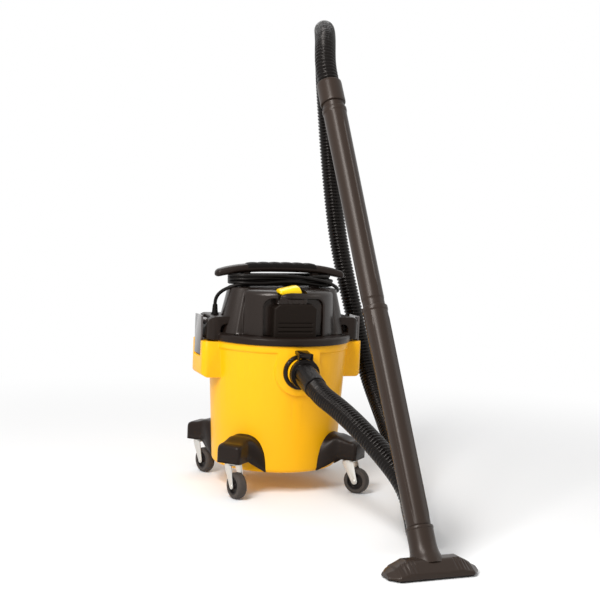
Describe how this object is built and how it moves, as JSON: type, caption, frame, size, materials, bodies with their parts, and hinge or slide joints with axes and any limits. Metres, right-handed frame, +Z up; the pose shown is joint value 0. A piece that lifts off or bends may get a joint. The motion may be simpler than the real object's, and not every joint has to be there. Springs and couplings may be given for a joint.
{
  "type": "shop vacuum",
  "caption": "Wet and dry shop vacuum: drum tank on casters, clamped motor head with carry handle and rocker switch, ribbed hose, wands and floor nozzle.",
  "frame": {"origin": "on the floor, at the middle of the outline in X and Y of everything but the hose and the power cord", "axes": "+Z up; the tank's inlet and the floor nozzle are towards -Y, the blower port towards +Y; +X is to the right seen from behind the nozzle looking at the tank"},
  "size_m": [0.429, 0.9315, 0.9868],
  "materials": {
    "tank_yellow": "satin",
    "black_plastic": "gloss",
    "dark_plastic": "satin",
    "wand_plastic": "satin",
    "yellow_plastic": "gloss",
    "hose_plastic": "satin",
    "zinc_steel": "satin",
    "motor_steel": "satin",
    "fan_aluminium": "satin",
    "wheel_rubber": "matte",
    "soft_rubber": "matte",
    "cord_rubber": "satin",
    "filter_paper": "matte",
    "bristle": "matte"
  },
  "bodies": {
    "tank": {"tank": "tank_yellow", "inlet_ring": "black_plastic", "inlet_deflector": "dark_plastic", "foot_screws": "zinc_steel", "foot_front_left": "black_plastic", "foot_front_right": "black_plastic", "foot_rear_left": "black_plastic", "foot_rear_right": "black_plastic", "hose_end": "hose_plastic", "hose": "hose_plastic", "hose_cuff": "hose_plastic"},
    "head": {"head_base": "black_plastic", "head_gasket": "soft_rubber", "head_cover": "black_plastic", "front_panel": "black_plastic", "head_screws": "zinc_steel", "latch_pins": "zinc_steel", "carry_handle": "black_plastic", "handle_grip": "soft_rubber", "switch_base": "black_plastic", "blower_port": "black_plastic", "motor": "motor_steel", "fan_housing": "dark_plastic", "float_cage": "dark_plastic", "filter": "filter_paper", "filter_plate": "dark_plastic", "filter_nut": "yellow_plastic", "cord_gland": "soft_rubber", "cord_lead": "cord_rubber", "cord_coil": "cord_rubber", "cord_tail": "cord_rubber", "plug": "cord_rubber"},
    "latch_left": {"latch_left": "black_plastic"},
    "latch_right": {"latch_right": "black_plastic"},
    "switch_paddle": {"switch_paddle": "yellow_plastic"},
    "rotor": {"fan": "fan_aluminium", "motor_shaft": "zinc_steel"},
    "float_ball": {"float_ball": "dark_plastic"},
    "hose_claw": {"hose_claw": "hose_plastic"},
    "upper_wand": {"upper_wand": "wand_plastic"},
    "lower_wand": {"lower_wand": "wand_plastic"},
    "floor_nozzle": {"floor_nozzle": "wand_plastic", "nozzle_bristles": "bristle"},
    "swivel_front_left": {"fork_front_left": "zinc_steel", "axle_front_left": "zinc_steel"},
    "wheel_front_left": {"hub_front_left": "dark_plastic", "tyre_front_left": "wheel_rubber"},
    "swivel_front_right": {"fork_front_right": "zinc_steel", "axle_front_right": "zinc_steel"},
    "wheel_front_right": {"hub_front_right": "dark_plastic", "tyre_front_right": "wheel_rubber"},
    "swivel_rear_left": {"fork_rear_left": "zinc_steel", "axle_rear_left": "zinc_steel"},
    "wheel_rear_left": {"hub_rear_left": "dark_plastic", "tyre_rear_left": "wheel_rubber"},
    "swivel_rear_right": {"fork_rear_right": "zinc_steel", "axle_rear_right": "zinc_steel"},
    "wheel_rear_right": {"hub_rear_right": "dark_plastic", "tyre_rear_right": "wheel_rubber"}
  },
  "joints": [
    {"name": "head_lift", "type": "slide", "parent": "tank", "child": "head", "axis": [0, 0, 1], "range_m": [0, 0.16]},
    {"name": "latch_left_hinge", "type": "hinge", "parent": "head", "child": "latch_left", "pos_m": [-0.164, 0.29347, 0.3513], "axis": [0, 1, 0], "range_deg": [0, 50]},
    {"name": "latch_right_hinge", "type": "hinge", "parent": "head", "child": "latch_right", "pos_m": [0.164, 0.29347, 0.3513], "axis": [0, -1, 0], "range_deg": [0, 50]},
    {"name": "switch_rocker", "type": "hinge", "parent": "head", "child": "switch_paddle", "pos_m": [-0.008, 0.20747, 0.4093], "axis": [0, 1, 0], "range_deg": [0, 16]},
    {"name": "motor_spin", "type": "hinge", "parent": "head", "child": "rotor", "pos_m": [0, 0.29347, 0.3213], "axis": [0, 0, 1], "continuous": true},
    {"name": "float_rise", "type": "slide", "parent": "head", "child": "float_ball", "axis": [0, 0, 1], "range_m": [0, 0.051]},
    {"name": "hose_claw_hinge", "type": "hinge", "parent": "tank", "child": "hose_claw", "pos_m": [0, 0.11027, 0.2975], "axis": [1, 0, 0], "range_deg": [0, 25]},
    {"name": "upper_wand_pull", "type": "slide", "parent": "tank", "child": "upper_wand", "axis": [0.0366, -0.4987, -0.866], "range_m": [0, 0.04]},
    {"name": "lower_wand_pull", "type": "slide", "parent": "upper_wand", "child": "lower_wand", "axis": [0.0366, -0.4987, -0.866], "range_m": [0, 0.04]},
    {"name": "nozzle_pull", "type": "slide", "parent": "lower_wand", "child": "floor_nozzle", "axis": [0.0366, -0.4987, -0.866], "range_m": [0, 0.05]},
    {"name": "swivel_front_left", "type": "hinge", "parent": "tank", "child": "swivel_front_left", "pos_m": [-0.12799, 0.16549, 0.07], "axis": [0, 0, 1], "continuous": true},
    {"name": "roll_front_left", "type": "hinge", "parent": "swivel_front_left", "child": "wheel_front_left", "pos_m": [-0.12359, 0.14907, 0.027], "axis": [0.9659, 0.2588, 0], "continuous": true},
    {"name": "swivel_front_right", "type": "hinge", "parent": "tank", "child": "swivel_front_right", "pos_m": [0.12799, 0.16549, 0.07], "axis": [0, 0, 1], "continuous": true},
    {"name": "roll_front_right", "type": "hinge", "parent": "swivel_front_right", "child": "wheel_front_right", "pos_m": [0.14001, 0.15347, 0.027], "axis": [0.7071, 0.7071, 0], "continuous": true},
    {"name": "swivel_rear_left", "type": "hinge", "parent": "tank", "child": "swivel_rear_left", "pos_m": [-0.12799, 0.42146, 0.07], "axis": [0, 0, 1], "continuous": true},
    {"name": "roll_rear_left", "type": "hinge", "parent": "swivel_rear_left", "child": "wheel_rear_left", "pos_m": [-0.12273, 0.40529, 0.027], "axis": [0.9511, 0.309, 0], "continuous": true},
    {"name": "swivel_rear_right", "type": "hinge", "parent": "tank", "child": "swivel_rear_right", "pos_m": [0.12799, 0.42146, 0.07], "axis": [0, 0, 1], "continuous": true},
    {"name": "roll_rear_right", "type": "hinge", "parent": "swivel_rear_right", "child": "wheel_rear_right", "pos_m": [0.13891, 0.40844, 0.027], "axis": [0.766, 0.6428, 0], "continuous": true}
  ]
}
